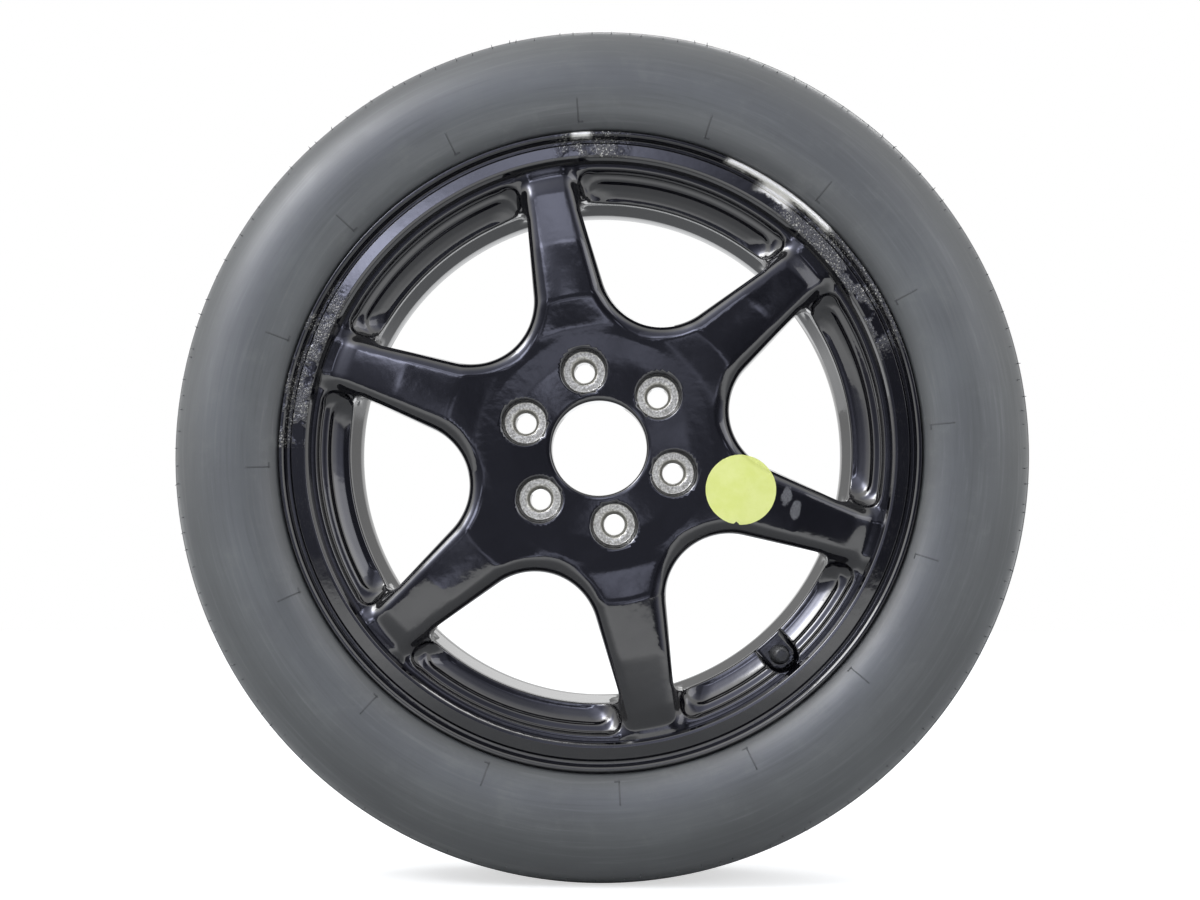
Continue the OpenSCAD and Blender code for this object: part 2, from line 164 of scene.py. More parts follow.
def make_object(name, points, faces, material, normals=None, body="wheel"):
    """A mesh object from points and normals in the drawing's frame."""
    mesh = bpy.data.meshes.new(name)
    mesh.from_pydata(to_scene(points).tolist(), [], faces)
    mesh.validate()
    mesh.polygons.foreach_set("use_smooth", [True] * len(mesh.polygons))
    if normals is not None:
        mesh.normals_split_custom_set_from_vertices(turn_to_scene(normals).tolist())
    mesh.materials.append(material)
    obj = bpy.data.objects.new(name, mesh)
    bpy.context.scene.collection.objects.link(obj)
    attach(obj, body)
    return obj


# Materials


class Nodes:
    """Short calls for building a material's nodes."""

    def __init__(self, name, tree=None):
        if tree is None:
            self.material = bpy.data.materials.new(name)
            self.material.use_nodes = True
            tree = self.material.node_tree
        self.tree = tree
        self.tree.nodes.clear()
        self.coords = self.add("ShaderNodeTexCoord").outputs["Object"]

    def add(self, kind, **settings):
        node = self.tree.nodes.new(kind)
        for key, value in settings.items():
            setattr(node, key, value)
        return node

    def put(self, socket, value):
        if isinstance(value, bpy.types.NodeSocket):
            self.tree.links.new(value, socket)
        else:
            socket.default_value = value

    def math(self, operation, a, b=0.0, clamp=False):
        node = self.add("ShaderNodeMath", operation=operation, use_clamp=clamp)
        self.put(node.inputs[0], a)
        self.put(node.inputs[1], b)
        return node.outputs[0]

    def plus(self, a, b):
        return self.math("ADD", a, b)

    def minus(self, a, b):
        return self.math("SUBTRACT", a, b)

    def times(self, a, b):
        return self.math("MULTIPLY", a, b)

    def over(self, a, b):
        return self.math("DIVIDE", a, b)

    def larger(self, a, b):
        return self.math("MAXIMUM", a, b)

    def noise(self, scale, detail=4.0, rough=0.55, distort=0.0, coords=None):
        node = self.add("ShaderNodeTexNoise")
        self.put(node.inputs["Vector"], coords or self.coords)
        node.inputs["Scale"].default_value = scale
        node.inputs["Detail"].default_value = detail
        node.inputs["Roughness"].default_value = rough
        node.inputs["Distortion"].default_value = distort
        return node.outputs["Fac"]

    def cells(self, scale):
        node = self.add("ShaderNodeTexVoronoi")
        self.put(node.inputs["Vector"], self.coords)
        node.inputs["Scale"].default_value = scale
        return node.outputs["Distance"]

    def span(self, value, low, high, to_low=0.0, to_high=1.0):
        """value from low..high to to_low..to_high, clamped, with smooth ends."""
        node = self.add("ShaderNodeMapRange", interpolation_type="SMOOTHSTEP")
        self.put(node.inputs["Value"], value)
        node.inputs["From Min"].default_value = low
        node.inputs["From Max"].default_value = high
        node.inputs["To Min"].default_value = to_low
        node.inputs["To Max"].default_value = to_high
        return node.outputs["Result"]

    def mix(self, factor, a, b):
        node = self.add("ShaderNodeMix", data_type="RGBA")
        self.put(node.inputs[0], factor)
        self.put(node.inputs[6], a)
        self.put(node.inputs[7], b)
        return node.outputs[2]

    def blend(self, factor, a, b):
        node = self.add("ShaderNodeMix", data_type="FLOAT")
        self.put(node.inputs[0], factor)
        self.put(node.inputs[2], a)
        self.put(node.inputs[3], b)
        return node.outputs[0]

    def polar(self):
        """Radius in mm, angle in degrees anticlockwise from +X, and height in mm."""
        split = self.add("ShaderNodeSeparateXYZ")
        self.put(split.inputs[0], self.coords)
        x, y, z = split.outputs
        radius = self.math("SQRT", self.plus(self.times(x, x), self.times(z, z)))
        angle = self.math("DEGREES", self.math("ARCTAN2", z, x))
        return self.times(radius, 1 / MM), angle, self.times(y, -1 / MM)

    def bump(self, height, distance, strength=1.0, normal=None):
        node = self.add("ShaderNodeBump")
        node.inputs["Strength"].default_value = strength
        node.inputs["Distance"].default_value = distance
        self.put(node.inputs["Height"], height)
        if normal is not None:
            self.put(node.inputs["Normal"], normal)
        return node.outputs["Normal"]

    def shader(self, **sockets):
        node = self.add("ShaderNodeBsdfPrincipled")
        for key, value in sockets.items():
            self.put(node.inputs[key.replace("_", " ")], value)
        out = self.add("ShaderNodeOutputMaterial")
        self.put(out.inputs["Surface"], node.outputs[0])
        return self.material


def rgb(text):
    """A linear colour from an sRGB hex string."""
    parts = [int(text[i:i + 2], 16) / 255 for i in (0, 2, 4)]
    linear = [c / 12.92 if c <= 0.04045 else ((c + 0.055) / 1.055) ** 2.4 for c in parts]
    return (*linear, 1.0)


def band(n, value, low, high, soft):
    """1 where value lies between low and high."""
    above = n.span(value, low - soft, low + soft)
    below = n.span(value, high + soft, high - soft)
    return n.times(above, below)


def stud_distance(n, radius, angle):
    """Distance from the nearest stud hole's axis."""
    from_spoke = n.plus(angle, STEP_A / 2 - SPOKE_A + 360)
    folded = n.minus(n.math("FLOORED_MODULO", from_spoke, STEP_A), STEP_A / 2)
    cosine = n.math("COSINE", n.math("RADIANS", folded))
    squares = n.plus(n.times(radius, radius), STUD_AT ** 2)
    return n.math("SQRT", n.minus(squares, n.times(n.times(radius, 2 * STUD_AT), cosine)))


def seat_wear(n, stud, height):
    """Worn metal on the flat seats round the stud holes."""
    ragged = n.times(n.minus(n.noise(420), 0.5), 1.1)
    on_seat = n.span(n.plus(stud, ragged), 15.5, 14.9)
    at_height = n.span(height, 43.2, 44.6)
    return n.times(on_seat, at_height)


def lip_damage(n, radius, angle, height):
    """The scrape along the lip, the chip beside it and the chip at the top."""
    wave = n.times(n.minus(n.noise(60, 6, 0.7), 0.5), 16.0)
    lip = n.span(n.plus(radius, n.times(wave, 0.25)), 230.6, 231.8)
    scrape = n.times(lip, band(n, n.plus(angle, n.times(wave, 0.5)), 43.0, 66.0, 1.5))
    flange = n.span(n.plus(radius, wave), 221.5, 224.0)
    chip = n.times(flange, band(n, angle, 51.5, 58.5, 1.5))
    lip_top = n.span(n.plus(radius, n.times(wave, 0.3)), 230.2, 231.6)
    chip_top = n.times(lip_top, band(n, angle, 91.5, 95.0, 0.6))
    bare = n.larger(n.larger(scrape, chip), chip_top)
    return n.times(bare, n.span(height, 50.0, 54.0))


def scuff_marks(n, radius, angle):
    """Matt spots beside the label."""
    scuff = 0.0
    for scuff_r, scuff_a in SCUFFS:
        off_r = n.over(n.minus(radius, scuff_r), SCUFF_HALF_R)
        off_a = n.over(n.minus(angle, scuff_a), SCUFF_HALF_A)
        reach = n.math("SQRT", n.plus(n.times(off_r, off_r), n.times(off_a, off_a)))
        spot = n.span(n.plus(reach, n.noise(300, 4)), 1.55, 1.25)
        scuff = n.larger(scuff, spot)
    return scuff


def paint_material():
    n = Nodes("wheel_paint")
    radius, angle, height = n.polar()
    stud = stud_distance(n, radius, angle)
    seat = seat_wear(n, stud, height)
    bare = lip_damage(n, radius, angle, height)
    scuff = scuff_marks(n, radius, angle)
    # three stretches of the flange have blistered paint with pits in it, the rest has few pits; the pits
    # take a light metal colour, partly bare metal and partly painted glints of light off the blisters
    on_flange = band(n, radius, 216.5, 236.5, 0.6)
    patches = n.larger(band(n, angle, 86, 97, 3), band(n, angle, 20, 52, 4))
    patches = n.larger(band(n, angle, 150, 182, 4), patches)
    pits = n.times(n.span(n.cells(520), 0.42, 0.2), on_flange)
    pits_and_glints = n.times(pits, n.span(n.noise(55, 3), 0.44, 0.56))
    pits_and_glints = n.times(pits_and_glints, n.plus(n.times(patches, 0.96), 0.04))
    metal = n.larger(seat, bare)
    # the pits lighten the paint towards metal: partly bare metal, partly painted glints
    metal = n.math("MAXIMUM", metal, n.times(pits_and_glints, 0.7), clamp=True)

    dust = n.times(n.span(n.noise(26, 8, 0.62), 0.5, 0.8), 0.5)
    paint = n.mix(dust, rgb("0b0b10"), rgb("1c1c24"))
    scuffed = n.times(scuff, n.span(n.noise(800, 3), 0.3, 0.7, 0.3, 0.8))
    paint = n.mix(scuffed, paint, rgb("6f7074"))
    steel = n.mix(n.span(n.noise(700, 5, 0.7), 0.35, 0.7), rgb("85837c"), rgb("d2d1ca"))
    steel = n.mix(n.span(n.noise(1500, 3, 0.7), 0.62, 0.72), steel, rgb("3c3934"))
    steel = n.mix(n.times(bare, 0.75), steel, rgb("efeee9"))
    steel = n.mix(n.span(stud, 10.6, 9.2), steel, rgb("8a8880"))
    colour = n.mix(metal, paint, steel)

    smears = n.span(n.noise(14, 6, 0.65, 0.6), 0.42, 0.75)
    rough = n.plus(n.times(smears, 0.1), 0.055)
    rough = n.plus(rough, n.times(pits_and_glints, 0.35))
    rough = n.blend(n.larger(metal, n.times(scuff, 0.8)), rough, 0.42)

    peel = n.bump(n.noise(150, 2, 0.4), 0.00012, 0.4)
    blisters = n.times(n.times(patches, on_flange), n.noise(620, 3, 0.7))
    blisters = n.times(blisters, n.span(n.noise(55, 3), 0.42, 0.55))
    fine = n.bump(blisters, 0.0009, 1.0, peel)
    worn = n.times(n.noise(1900, 3, 0.6), n.larger(metal, pits_and_glints))
    fine = n.bump(worn, 0.0001, 0.6, fine)
    normal = n.bump(n.times(metal, -1.0), 0.00025, 0.8, fine)
    return n.shader(Base_Color=colour, Metallic=n.times(metal, 0.55), Roughness=rough,
                    Specular_IOR_Level=0.75, Normal=normal)


def mould_line_shade(n, radius, angle):
    """Painted shade: dark stripes under the fine mould lines and the hooks at their inner ends."""
    line_step = 360 / MOULD_LINES
    from_line = n.plus(angle, 720 + line_step / 2 - MOULD_LINE_A)
    folded = n.math("FLOORED_MODULO", from_line, line_step)
    across = n.times(n.minus(folded, line_step / 2), n.times(radius, DEG))
    line = n.times(n.span(n.math("ABSOLUTE", across), 0.9, 0.35), band(n, radius, 241, 258, 0.8))
    hook = n.times(band(n, across, -3.6, 0.4, 0.3), band(n, radius, 241.2, 242.4, 0.4))
    return n.larger(line, hook)


def ring_wear(n, radius, angle):
    """Noise that is drawn out round the wheel's axis."""
    radians = n.math("RADIANS", angle)
    ring = n.add("ShaderNodeCombineXYZ")
    n.put(ring.inputs[0], n.times(n.math("COSINE", radians), 0.12))
    n.put(ring.inputs[1], n.times(n.math("SINE", radians), 0.12))
    n.put(ring.inputs[2], n.times(radius, 0.012))
    return n.noise(26, 6, 0.65, 0.4, ring.outputs[0])


def rubber_material():
    n = Nodes("tyre_rubber")
    radius, angle, _ = n.polar()
    cloud = n.noise(7, 5, 0.55)
    dusty = n.noise(40, 6, 0.7)
    # painted shade: darker towards the tread edge
    tread_edge_shade = n.span(radius, 308.0, 317.0)
    # painted shade along the mould lines
    line_shade = mould_line_shade(n, radius, angle)
    worn = ring_wear(n, radius, angle)
    colour = n.mix(n.span(cloud, 0.3, 0.7), rgb("505254"), rgb("5d6062"))
    layers = (
        (n.span(radius, 252.0, 236.0), 0.55, "3a3b3d"),
        (n.span(dusty, 0.5, 0.75), 0.35, "6c6e6d"),
        # painted shade: the wall darkens from 272 mm outward
        (n.span(radius, 272.0, 300.0), 0.5, "434546"),
        (tread_edge_shade, 0.45, "454748"),
        (n.span(worn, 0.5, 0.75), 0.28, "77797a"),
        (n.span(worn, 0.5, 0.28), 0.3, "3d3f41"),
        (line_shade, 0.6, "26272a"),
        (n.span(n.cells(520), 0.10, 0.06), 0.25, "777873"),
    )
    for mask, share, tone in layers:
        colour = n.mix(n.times(mask, share), colour, rgb(tone))
    rough = n.plus(n.times(dusty, 0.2), 0.34)
    fine = n.bump(n.noise(2600, 3, 0.6), 0.00006, 0.5)
    rings = n.math("SINE", n.times(radius, 9.0))
    normal = n.bump(n.times(rings, 0.12), 0.00006, 0.3, fine)
    return n.shader(Base_Color=colour, Roughness=rough, Normal=normal, Specular_IOR_Level=0.6)


def plain_material(name, dark, light, rough, metallic=0.0):
    """A blotched and slightly grimy material for the small parts."""
    n = Nodes(name)
    blotch = n.noise(600, 5, 0.65)
    grime = n.noise(180, 4, 0.6)
    colour = n.mix(n.span(blotch, 0.3, 0.7), rgb(dark), rgb(light))
    rough_out = n.plus(n.times(grime, 0.2), rough - 0.1)
    normal = n.bump(n.noise(2400, 3, 0.6), 0.00004, 0.6)
    return n.shader(Base_Color=colour, Roughness=rough_out, Normal=normal, Metallic=metallic)


def label_material():
    n = Nodes("label_yellow")
    fade = n.noise(60, 5, 0.6)
    colour = n.mix(n.span(fade, 0.3, 0.75), rgb("dfe884"), rgb("e9f09c"))
    scuff = n.times(n.span(n.noise(260, 6, 0.75), 0.62, 0.74), 0.5)
    colour = n.mix(scuff, colour, rgb("b9bd7c"))
    rough = n.plus(n.times(fade, 0.25), 0.3)
    normal = n.bump(n.noise(900, 3), 0.00005, 0.4)
    return n.shader(Base_Color=colour, Roughness=rough, Normal=normal)


# Distance functions of the casting


def smax(a, b, k):
    h = np.clip(0.5 + 0.5 * (a - b) / k, 0, 1)
    return b * (1 - h) + a * h + k * h * (1 - h)


def smin(a, b, k):
    return -smax(-a, -b, k)


def smooth_table(points, sigma, low=30.0, high=222.0):
    """A table of a polyline's height over its radius, with its corners rounded."""
    step = 0.25
    r = np.arange(low, high, step)
    z = np.interp(r, [p[0] for p in points], [p[1] for p in points])
    reach = int(4 * sigma / step)
    kernel = np.exp(-0.5 * (np.arange(-reach, reach + 1) * step / sigma) ** 2)
    z = np.convolve(np.pad(z, reach, mode="edge"), kernel / kernel.sum(), mode="valid")
    return r, z


# Height over radius: the front of the spokes, the ledge outside the windows, the back of the spokes
FRONT = smooth_table([(30, 49.2), (37, 49.4), (66, 52.0), (91.2, 53.4), (114, 56.0), (156.5, 54.45),
                      (196, 50.8), (202, 49.2), (207, 46.9), (212, 46.3), (222, 46.1)], 1.8)
LEDGE = smooth_table([(30, 42.6), (200, 42.6), (206, 44.2), (211, 45.8), (222, 46.1)], 1.4)
BACK = smooth_table([(30, 30.0), (79.2, 33.0), (120, 29.0), (188, 24.0), (222, 21.0)], 2.0)
# Height of a pocket's floor over the distance from its edge: a bowl at the ends, steps between them
BOWL = smooth_table([(0, 42.0), (4, 37.4), (10, 33.0), (17, 29.6), (24, 28.0)], 2.0, low=-12.0, high=60.0)
TERRACES = smooth_table([(0, 42.0), (1.8, 38.6), (6.4, 37.0), (8.4, 33.9), (12, 31.6), (17, 29.2),
                         (24, 28.0)], 0.6, low=-12.0, high=60.0)
SIDE_DIR = np.array([math.cos(WINDOW_SIDE_A * DEG), math.sin(WINDOW_SIDE_A * DEG)])
SIDE_OUT = np.array([-SIDE_DIR[1], SIDE_DIR[0]])
SIDE_START = np.array([WINDOW_ARC_AT, 0.0]) + WINDOW_ARC_R * SIDE_OUT


def side_distance(x, y):
    """Distance outside a window's round end and straight sides, in the window's own plan, with y >= 0."""
    along = (x - SIDE_START[0]) * SIDE_DIR[0] + (y - SIDE_START[1]) * SIDE_DIR[1]
    off = (x - SIDE_START[0]) * SIDE_OUT[0] + (y - SIDE_START[1]) * SIDE_OUT[1]
    arc = np.hypot(x - WINDOW_ARC_AT, y) - WINDOW_ARC_R
    return np.where(along > 0, off, arc)


def spokes_field(r, z, window_x, window_y, spoke_x, spoke_y):
    """Hub and spokes, with their rolled edges, the mounting ring and the hollows cast into the back."""
    crown = CROWN * np.interp(r, [84, 118], [0.0, 1.0]) * spoke_y ** 2
    front = z - np.interp(r, *FRONT) + crown
    back_z = np.interp(r, *BACK)
    mount = smax(r - MOUNT_R, MOUNT_Z - z, 1.2)
    near_mount = np.minimum(np.maximum(STEP_Z - z, back_z - z), mount)
    back = np.where(r > MOUNT_R + 14, back_z - z, near_mount)
    roll = np.interp(r, [90, 120, 160, 200], [13.0, 12.0, 10.0, 8.0])
    wall = -side_distance(window_x, window_y)
    spoke = smax(front, wall, roll)
    spoke = smax(spoke, smax(back, wall, 3.0), 0.5)

    # groove behind each spoke
    groove_x = np.clip(spoke_x, GROOVE_FROM, GROOVE_TO)
    groove = np.hypot(spoke_x - groove_x, spoke_y) - GROOVE_R
    groove_floor = z - (back_z + GROOVE_DEEP)
    spoke = smax(spoke, -smax(groove, groove_floor, 3.0), 2.0)

    # hollow between each two stud holes
    hollow = np.hypot(window_x - STUD_AT, window_y) - HOLLOW_R
    return smax(spoke, -smax(hollow, z - MOUNT_Z - HOLLOW_DEEP, 3.0), 1.2)


def ring_field(r, z, window_a):
    """The ring between the windows and the flange, with the pockets in it."""
    inner = np.interp(z, [10.0, 24.0], [BARREL_R, WINDOW_R])
    from_mid = r - (WINDOW_R + POCKET_R) / 2
    end_r = (POCKET_R - WINDOW_R) / 2
    beyond = (np.abs(window_a) - POCKET_HALF_A) * DEG * r
    pocket = np.where(beyond < 0, from_mid - end_r, np.hypot(from_mid, beyond) - end_r)

    # the floor falls in steps from the outer edge and in a smooth bowl from the ends
    from_end = end_r - beyond
    deep = smin(POCKET_R - r, from_end, 14.0)
    stepped = np.clip((from_end - 5.0) / 9.0, 0, 1)
    floor_z = np.interp(deep, *BOWL) * (1 - stepped) + np.interp(deep, *TERRACES) * stepped
    bowl_cut = smax(pocket, (floor_z - z) * 0.85, 2.2)
    ring = smax(z - np.interp(r, *LEDGE), inner - r, 3.0)
    ring = smax(ring, -bowl_cut, 1.6)

    # back of the ring, inside the tyre, and the outer end under the flange
    well = np.interp(r, [183.0, 190.8, 217.4, 222.0], [6.0, 15.3, 27.8, 28.5]) - z
    return np.maximum(ring, np.maximum(well, r - CAST_R))


def cut_holes(solid, r, z, spoke_x, spoke_y):
    """Cuts the bore, and the stud holes with their cones and recesses."""
    solid = smax(solid, BORE_R - r, 2.4)
    stud = np.hypot(spoke_x - STUD_AT, spoke_y)
    solid = smax(solid, -(stud - STUD_R), 0.5)
    cone = stud - np.interp(z, [SEAT_Z - CONE_H, SEAT_Z], [STUD_R, CONE_R])
    solid = smax(solid, -smax(cone, SEAT_Z - CONE_H - z, 0.4), 0.5)
    wall_r = [SEAT_R + 0.6, RECESS_R - 0.3, RECESS_R + 0.9]
    recess = stud - np.interp(z, [SEAT_Z, 51.0, 54.0], wall_r)
    return smax(solid, -smax(recess, SEAT_Z - z, 0.9), 1.0)


def cut_valve_seat(solid, r, a, z):
    """Cuts the flat that the valve stands on, and the valve's hole."""
    from_valve = (a - VALVE_A + 180) % 360 - 180
    x = r * np.cos(from_valve * DEG)
    y = r * np.sin(from_valve * DEG)
    far = np.abs(from_valve) > 40
    across = np.abs(y) - VALVE_FLAT_HALF
    around = np.hypot(x - VALVE_AT, y) - VALVE_FLAT_HALF
    flat = np.where(x < VALVE_AT, across, around)
    flat = np.maximum(flat, WINDOW_R - 14.0 - x)
    flat = smax(flat, VALVE_FLAT_Z - z, 2.0)
    solid = np.where(far, solid, smax(solid, -flat, 1.6))
    hole = np.hypot(x - VALVE_AT, y) - VALVE_HOLE_R
    return np.where(far, solid, np.maximum(solid, -hole))


def casting(x, y, z):
    """Signed distance, roughly, to the hub, spokes and the ring round the windows; negative inside."""
    r = np.hypot(x, y)
    a = np.degrees(np.arctan2(y, x))
    window_a = (a - SPOKE_A) % STEP_A - STEP_A / 2
    spoke_a = (a - SPOKE_A + STEP_A / 2) % STEP_A - STEP_A / 2
    window_x = r * np.cos(window_a * DEG)
    window_y = np.abs(r * np.sin(window_a * DEG))
    spoke_x = r * np.cos(spoke_a * DEG)
    spoke_y = r * np.sin(spoke_a * DEG)
    spokes = spokes_field(r, z, window_x, window_y, spoke_x, spoke_y)
    ring = ring_field(r, z, window_a)
    solid = smin(spokes, ring, 9.0)
    solid = np.maximum(solid, np.maximum(r - CAST_R, CAST_BACK_Z - z))
    solid = cut_holes(solid, r, z, spoke_x, spoke_y)
    return cut_valve_seat(solid, r, a, z)


def slope(field, points, eps=0.05):
    """Gradient of a field at the given points."""
    out = np.empty_like(points)
    for axis in range(3):
        step = np.zeros(3)
        step[axis] = eps
        high = points + step
        low = points - step
        out[:, axis] = (field(*high.T) - field(*low.T)) / (2 * eps)
    return out


def crossings(here, there):
    """Whether a field changes its sign between neighbours, and at what share of the way."""
    cross = (here < 0) != (there < 0)
    with np.errstate(divide="ignore", invalid="ignore"):
        share = np.where(cross, here / (here - there), 0)
    return cross, share


def surface_nets(field, radii, columns, heights):
    """Closed quads round a field's negative side on a lattice of radius, angle and height."""
    turn = 2 * math.pi / columns
    angles = np.arange(columns) * turn
    rr, aa, zz = np.meshgrid(radii, angles, heights, indexing="ij")
    value = field(rr * np.cos(aa), rr * np.sin(aa), zz)
    inside = value < 0
    shape = (len(radii) - 1, columns, len(heights) - 1)
    cells = np.arange(np.prod(shape)).reshape(shape)
    total = np.zeros(shape + (3,))
    count = np.zeros(shape)
    quads = []

    def gather(cross, radius, angle, height):
        """Adds one crossing point to each cell beside it."""
        point = np.stack(np.broadcast_arrays(radius, angle, height), -1)
        total[:] += np.where(cross[..., None], point, 0)
        count[:] += cross

    def emit(four, forward):
        flat = np.stack(four, 1)
        flat[~forward] = flat[~forward][:, ::-1]
        quads.append(flat)

    # edges along the radius
    cross, share = crossings(value[:-1], value[1:])
    place = radii[:-1, None, None] + share * np.diff(radii)[:, None, None]
    for dj in (0, 1):
        for dk in (0, 1):
            rows = slice(dk, dk + shape[2])
            angle = angles[None, :, None] + dj * turn
            gather(np.roll(cross, -dj, 1)[:, :, rows], np.roll(place, -dj, 1)[:, :, rows],
                   angle, heights[rows][None, None, :])
    i, j, k = np.nonzero(cross[:, :, 1:-1])
    k = k + 1
    back = (j - 1) % columns
    emit([cells[i, back, k - 1], cells[i, j, k - 1], cells[i, j, k], cells[i, back, k]],
         inside[i, j, k])

    # edges along the angle
    cross, share = crossings(value, np.roll(value, -1, 1))
    place = angles[None, :, None] + share * turn
    for di in (0, 1):
        for dk in (0, 1):
            rings = slice(di, di + shape[0])
            rows = slice(dk, dk + shape[2])
            gather(cross[rings, :, rows], radii[rings][:, None, None], place[rings, :, rows],
                   heights[rows][None, None, :])
    i, j, k = np.nonzero(cross[1:-1, :, 1:-1])
    i = i + 1
    k = k + 1
    emit([cells[i - 1, j, k - 1], cells[i - 1, j, k], cells[i, j, k], cells[i, j, k - 1]],
         inside[i, j, k])

    # edges along the height
    cross, share = crossings(value[:, :, :-1], value[:, :, 1:])
    place = heights[:-1][None, None, :] + share * np.diff(heights)[None, None, :]
    for di in (0, 1):
        for dj in (0, 1):
            rings = slice(di, di + shape[0])
            angle = angles[None, :, None] + dj * turn
            gather(np.roll(cross, -dj, 1)[rings], radii[rings][:, None, None], angle,
                   np.roll(place, -dj, 1)[rings])
    i, j, k = np.nonzero(cross[1:-1])
    i = i + 1
    back = (j - 1) % columns
    emit([cells[i - 1, back, k], cells[i, back, k], cells[i, j, k], cells[i - 1, j, k]],
         inside[i, j, k])

    quads = np.concatenate(quads)
    used = np.unique(quads)
    renumber = np.full(cells.size, -1)
    renumber[used] = np.arange(len(used))
    mean = total.reshape(-1, 3)[used] / np.maximum(count.reshape(-1)[used], 1)[:, None]
    radius, angle, height = mean.T
    points = np.stack([radius * np.cos(angle), radius * np.sin(angle), height], 1)
    return points, renumber[quads]


def settle(field, points, reach, rounds=4):
    """Moves points onto the field's zero surface, no further than reach."""
    start = points.copy()
    for _ in range(rounds):
        g = slope(field, points)
        size = np.maximum((g ** 2).sum(1), 1e-3)
        points = points - (field(*points.T) / size)[:, None] * g
        moved = points - start
        far = np.maximum(np.linalg.norm(moved, axis=1) / reach, 1.0)
        points = start + moved / far[:, None]
    return points


def casting_object(material):
    hub_and_spokes = np.arange(33.5, 100, 2.5)
    spoke_ends = np.arange(100, 186, 3.1)
    pockets = np.arange(186.2, 218, 1.35)
    radii = np.concatenate([hub_and_spokes, spoke_ends, pockets])
    heights = np.concatenate([np.arange(3.0, 24, 3.2), np.arange(24.2, 58.5, 1.6)])
    points, quads = surface_nets(casting, radii, 432, heights)
    points = settle(casting, points, 1.1)
    normals = slope(casting, points, 0.5)
    normals /= np.maximum(np.linalg.norm(normals, axis=1), 1e-6)[:, None]
    return make_object("wheel_casting", points, quads.tolist(), material, normals)


# Turned shapes


def rounded(corners, steps=4):
    """A polyline with each (r, z, radius) corner replaced by an arc."""
    out = []
    count = len(corners)
    for i, (r, z, radius) in enumerate(corners):
        here = np.array([r, z])
        if radius <= 0 or i in (0, count - 1):
            out.append(here)
            continue
        before = np.array(corners[i - 1][:2]) - here
        after = np.array(corners[i + 1][:2]) - here
        len_b, len_a = np.linalg.norm(before), np.linalg.norm(after)
        before, after = before / len_b, after / len_a
        half = math.acos(np.clip(before @ after, -1, 1)) / 2
        cut = min(radius / math.tan(half), 0.48 * len_b, 0.48 * len_a)
        radius = cut * math.tan(half)
        middle = (before + after) / np.linalg.norm(before + after)
        centre = here + middle * radius / math.sin(half)
        a0 = math.atan2(*(here + before * cut - centre)[::-1])
        a1 = math.atan2(*(here + after * cut - centre)[::-1])
        turn = (a1 - a0 + math.pi) % (2 * math.pi) - math.pi
        for s in range(steps + 1):
            t = a0 + turn * s / steps
            out.append(centre + radius * np.array([math.cos(t), math.sin(t)]))
    return np.array(out)


def swing(angles, radius, height):
    """A section's points at each of the angles."""
    cosine = np.cos(angles)[:, None]
    sine = np.sin(angles)[:, None]
    swung = [cosine * radius, sine * radius, np.ones_like(cosine) * height]
    return np.stack(swung, -1).reshape(-1, 3)


def closed_quads(columns, count):
    """Quads between sections of count points each, closed both ways."""
    j, i = np.meshgrid(np.arange(columns), np.arange(count), indexing="ij")
    j2 = (j + 1) % columns
    i2 = (i + 1) % count
    quads = [j * count + i, j2 * count + i, j2 * count + i2, j * count + i2]
    return np.stack(quads, -1).reshape(-1, 4)


def turned(name, profile, columns, material):
    """A closed profile turned round the wheel's axis."""
    radius, height = profile.T
    edges = np.roll(profile, -1, 0) - profile
    side = np.stack([edges[:, 1], -edges[:, 0]], 1)
    area = (radius * np.roll(height, -1) - np.roll(radius, -1) * height).sum()
    side *= 1 if area > 0 else -1
    normal = side + np.roll(side, 1, 0)
    normal /= np.maximum(np.linalg.norm(normal, axis=1), 1e-9)[:, None]
    angles = np.arange(columns) * 2 * math.pi / columns
    points = swing(angles, radius, height)
    normals = swing(angles, normal[:, 0], normal[:, 1])
    quads = closed_quads(columns, len(profile))
    if area < 0:
        quads = quads[:, ::-1]
    return make_object(name, points, quads.tolist(), material, normals)


def flange_object(material):
    """The street-side flange and bead seat, which start inside the casting."""
    corners = [
        (212.0, 30.0, 0), (212.6, 45.2, 0), (214.2, 45.4, 0), (214.9, 53.5, 1.5), (216.2, 57.3, 1.2),
        (218.2, 58.05, 1.0), (226.6, 57.4, 0.5), (228.0, 54.7, 0.7), (230.5, 54.7, 0.7),
        (231.9, 59.9, 0.8), (233.2, FACE_Z, 0.8), (234.9, FACE_Z, 0.8), (RIM_R, 59.9, 0.8),
        (RIM_R, 52.0, 1.0), (234.6, 50.8, 1.0), (224.3, 50.8, 4.0), (218.3, 46.0, 3.0),
        (217.4, 30.8, 1.0), (218.3, 29.3, 1.0), (217.4, 27.8, 1.5), (214.5, 27.2, 0)
    ]
    return turned("wheel_flange", rounded(corners), 480, material)


def barrel_object(material):
    """The drop centre, the inner bead seat and the inner flange."""
    corners = [
        (188.5, 14.0, 0), (190.8, 15.3, 1.0), (190.8, -6.0, 6.0), (217.4, -27.8, 1.5),
        (218.3, -29.3, 1.0), (217.4, -30.8, 1.0), (218.3, -46.0, 3.0), (224.3, -50.8, 4.0),
        (234.6, -50.8, 1.0), (RIM_R, -52.0, 1.0), (RIM_R, -58.6, 1.6), (233.4, -FACE_Z, 1.6),
        (222.0, -FACE_Z, 2.5), (213.0, -54.0, 4.0), (210.0, -43.8, 6.0), (210.0, -31.8, 8.0),
        (BARREL_R, -8.0, 10.0), (BARREL_R, 9.0, 0), (184.5, 11.5, 0.5)
    ]
    return turned("wheel_barrel", rounded(corners), 480, material)


def oval(height, half, start, stop, steps):
    """Points of an oval round the wall's middle radius, from start to stop degrees off the axis."""
    turn = np.linspace(start, stop, steps) * DEG
    return [(WALL_AT + half[0] * math.sin(a), height + half[1] * math.cos(a)) for a in turn]


